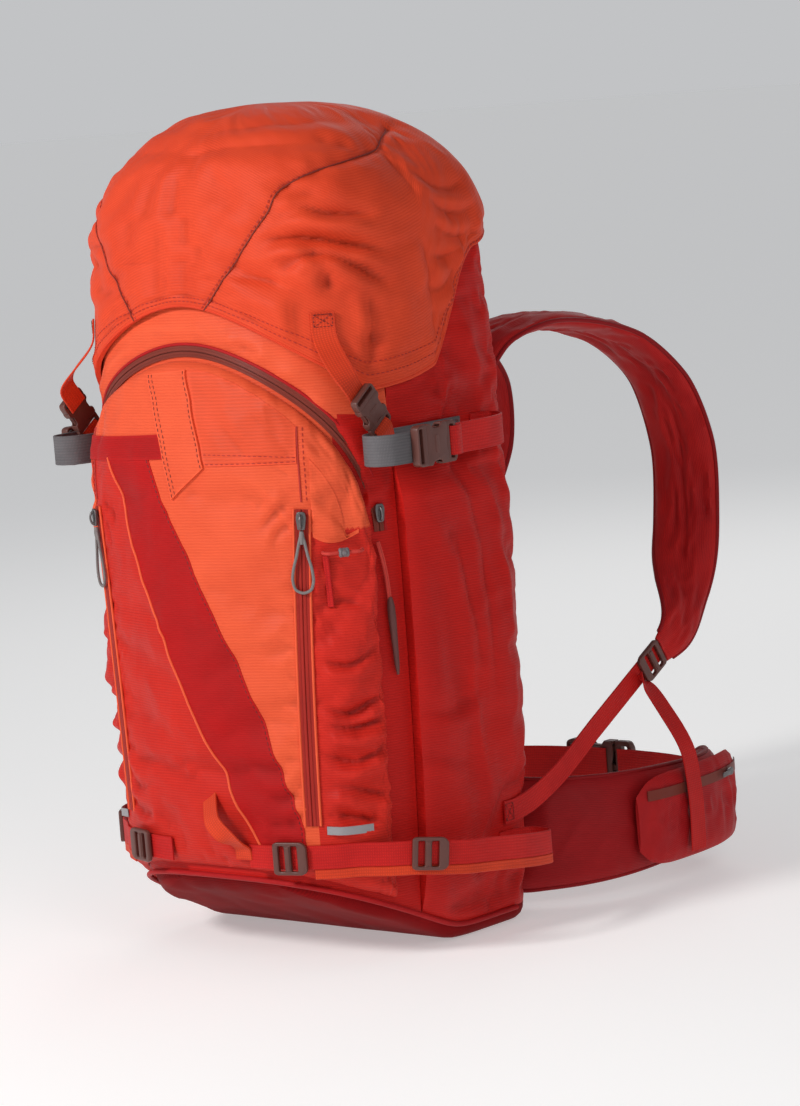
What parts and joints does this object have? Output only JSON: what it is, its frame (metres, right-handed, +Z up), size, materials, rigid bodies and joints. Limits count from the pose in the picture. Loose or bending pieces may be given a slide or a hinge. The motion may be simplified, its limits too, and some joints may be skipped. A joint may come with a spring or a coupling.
{
  "type": "ski backpack",
  "caption": "Top-loading ski backpack with a floating lid, arched front pocket, buckled ski straps on both sides, padded shoulder harness and hip belt.",
  "frame": {"origin": "middle of the flat part of the base, on the floor", "axes": "+Z up, +Y towards the wearer, +X towards the wearer's right"},
  "size_m": [0.4086, 0.5766, 0.6846],
  "materials": {
    "arch_slider": "satin",
    "arch_zip": "matte",
    "axe_loop": "matte",
    "back_pad": "matte",
    "back_panel": "matte",
    "base_panel": "matte",
    "collar": "matte",
    "frame_sheet": "satin",
    "frame_stay_left": "satin",
    "frame_stay_right": "satin",
    "front_buckle_left": "satin",
    "front_buckle_right": "satin",
    "front_panel": "matte",
    "front_pocket": "matte",
    "front_zip_left": "matte",
    "front_zip_right": "matte",
    "haul_loop": "matte",
    "hip_pouch_left": "matte",
    "hip_pouch_right": "matte",
    "hip_socket": "satin",
    "hip_tongue": "satin",
    "hip_web_left": "matte",
    "hip_web_right": "matte",
    "hip_wing_left": "matte",
    "hip_wing_right": "matte",
    "keeper_cord": "matte",
    "keeper_toggle": "satin",
    "lid": "matte",
    "lid_socket_left": "satin",
    "lid_socket_right": "satin",
    "lid_strap_left": "matte",
    "lid_strap_right": "matte",
    "lid_tongue_left": "satin",
    "lid_tongue_right": "satin",
    "lumbar_pad": "matte",
    "shoulder_pad_left": "matte",
    "shoulder_pad_right": "matte",
    "shoulder_web_left": "matte",
    "shoulder_web_right": "matte",
    "side_panel_left": "matte",
    "side_panel_right": "matte",
    "ski_ladder_left": "satin",
    "ski_ladder_right": "satin",
    "ski_loop_left": "matte",
    "ski_loop_right": "matte",
    "ski_socket_left": "satin",
    "ski_socket_right": "satin",
    "ski_strap_left": "matte",
    "ski_strap_right": "matte",
    "ski_tongue_left": "satin",
    "ski_tongue_right": "satin",
    "ski_web_left": "matte",
    "ski_web_right": "matte",
    "strap_lock_left": "satin",
    "strap_lock_right": "satin",
    "zip_pull_left": "satin",
    "zip_pull_right": "satin",
    "zip_slider_left": "satin",
    "zip_slider_right": "satin"
  },
  "bodies": {
    "pack": {"arch_zip": "arch_zip", "axe_loop": "axe_loop", "back_pad": "back_pad", "back_panel": "back_panel", "base_panel": "base_panel", "collar": "collar", "frame_sheet": "frame_sheet", "frame_stay_left": "frame_stay_left", "frame_stay_right": "frame_stay_right", "front_buckle_left": "front_buckle_left", "front_buckle_right": "front_buckle_right", "front_panel": "front_panel", "front_pocket": "front_pocket", "front_zip_left": "front_zip_left", "front_zip_right": "front_zip_right", "hip_pouch_left": "hip_pouch_left", "hip_pouch_right": "hip_pouch_right", "hip_socket": "hip_socket", "hip_web_left": "hip_web_left", "hip_web_right": "hip_web_right", "hip_wing_left": "hip_wing_left", "hip_wing_right": "hip_wing_right", "keeper_cord": "keeper_cord", "lumbar_pad": "lumbar_pad", "shoulder_pad_left": "shoulder_pad_left", "shoulder_pad_right": "shoulder_pad_right", "shoulder_web_left": "shoulder_web_left", "shoulder_web_right": "shoulder_web_right", "side_panel_left": "side_panel_left", "side_panel_right": "side_panel_right", "ski_loop_left": "ski_loop_left", "ski_loop_right": "ski_loop_right", "ski_socket_left": "ski_socket_left", "ski_socket_right": "ski_socket_right", "ski_strap_left": "ski_strap_left", "ski_strap_right": "ski_strap_right", "ski_web_left": "ski_web_left", "ski_web_right": "ski_web_right"},
    "lid": {"lid": "lid", "lid_socket_left": "lid_socket_left", "lid_socket_right": "lid_socket_right", "lid_strap_left": "lid_strap_left", "lid_strap_right": "lid_strap_right"},
    "lid_tongue_right": {"lid_tongue_right": "lid_tongue_right"},
    "lid_tongue_left": {"lid_tongue_left": "lid_tongue_left"},
    "ski_tongue_right": {"ski_tongue_right": "ski_tongue_right"},
    "ski_tongue_left": {"ski_tongue_left": "ski_tongue_left"},
    "hip_tongue": {"hip_tongue": "hip_tongue"},
    "zip_slider_right": {"zip_slider_right": "zip_slider_right"},
    "zip_slider_left": {"zip_slider_left": "zip_slider_left"},
    "zip_pull_right": {"zip_pull_right": "zip_pull_right"},
    "zip_pull_left": {"zip_pull_left": "zip_pull_left"},
    "arch_slider": {"arch_slider": "arch_slider"},
    "keeper_toggle": {"keeper_toggle": "keeper_toggle"},
    "haul_loop": {"haul_loop": "haul_loop"},
    "strap_lock_right": {"strap_lock_right": "strap_lock_right"},
    "strap_lock_left": {"strap_lock_left": "strap_lock_left"},
    "ski_ladder_right": {"ski_ladder_right": "ski_ladder_right"},
    "ski_ladder_left": {"ski_ladder_left": "ski_ladder_left"}
  },
  "joints": [
    {"name": "lid_hinge", "type": "hinge", "parent": "pack", "child": "lid", "pos_m": [0, 0.0586, 0.588], "axis": [-1, 0, 0], "range_deg": [0, 100]},
    {"name": "lid_buckle_right", "type": "slide", "parent": "pack", "child": "lid_tongue_right", "axis": [0, 0.594, -0.8045], "range_m": [0, 0.018]},
    {"name": "ski_buckle_right", "type": "slide", "parent": "pack", "child": "ski_tongue_right", "axis": [0, 1, 0], "range_m": [0, 0.0225]},
    {"name": "lid_buckle_left", "type": "slide", "parent": "pack", "child": "lid_tongue_left", "axis": [0, 0.594, -0.8045], "range_m": [0, 0.018]},
    {"name": "ski_buckle_left", "type": "slide", "parent": "pack", "child": "ski_tongue_left", "axis": [0, 1, 0], "range_m": [0, 0.0225]},
    {"name": "hip_buckle", "type": "slide", "parent": "pack", "child": "hip_tongue", "axis": [1, 0, 0], "range_m": [0, 0.0342]},
    {"name": "front_zip_travel_right", "type": "slide", "parent": "pack", "child": "zip_slider_right", "axis": [-0.0492, -0.0175, -0.9986], "range_m": [0, 0.19]},
    {"name": "zip_pull_swing_right", "type": "hinge", "parent": "zip_slider_right", "child": "zip_pull_right", "pos_m": [0.11721, -0.17876, 0.36408], "axis": [-0.8813, -0.4698, 0.0517], "range_deg": [0, 95]},
    {"name": "front_zip_travel_left", "type": "slide", "parent": "pack", "child": "zip_slider_left", "axis": [0.0492, -0.0175, -0.9986], "range_m": [0, 0.19]},
    {"name": "zip_pull_swing_left", "type": "hinge", "parent": "zip_slider_left", "child": "zip_pull_left", "pos_m": [-0.11721, -0.17876, 0.36408], "axis": [-0.8813, 0.4698, -0.0517], "range_deg": [0, 95]},
    {"name": "arch_zip_travel", "type": "slide", "parent": "pack", "child": "arch_slider", "axis": [0, 0, 1], "range_m": [0, 0.035]},
    {"name": "keeper_toggle_travel", "type": "slide", "parent": "pack", "child": "keeper_toggle", "axis": [0.6638, 0.7479, -0.0035], "range_m": [-0.004, 0.004]},
    {"name": "haul_loop_lift", "type": "hinge", "parent": "pack", "child": "haul_loop", "pos_m": [0, 0.0558, 0.556], "axis": [-1, 0, 0], "range_deg": [-85, 0]},
    {"name": "strap_lock_tilt_right", "type": "hinge", "parent": "pack", "child": "strap_lock_right", "pos_m": [0.16963, 0.21741, 0.20263], "axis": [0, -0.5238, 0.8519], "range_deg": [0, 35]},
    {"name": "ski_ladder_tilt_right", "type": "hinge", "parent": "pack", "child": "ski_ladder_right", "pos_m": [0.16764, -0.13321, 0.09389], "axis": [-0.0659, -0.0741, -0.9951], "range_deg": [0, 35]},
    {"name": "strap_lock_tilt_left", "type": "hinge", "parent": "pack", "child": "strap_lock_left", "pos_m": [-0.16963, 0.21741, 0.20263], "axis": [0, 0.5238, -0.8519], "range_deg": [0, 35]},
    {"name": "ski_ladder_tilt_left", "type": "hinge", "parent": "pack", "child": "ski_ladder_left", "pos_m": [-0.16764, -0.13321, 0.09389], "axis": [-0.0659, 0.0741, 0.9951], "range_deg": [0, 35]}
  ]
}
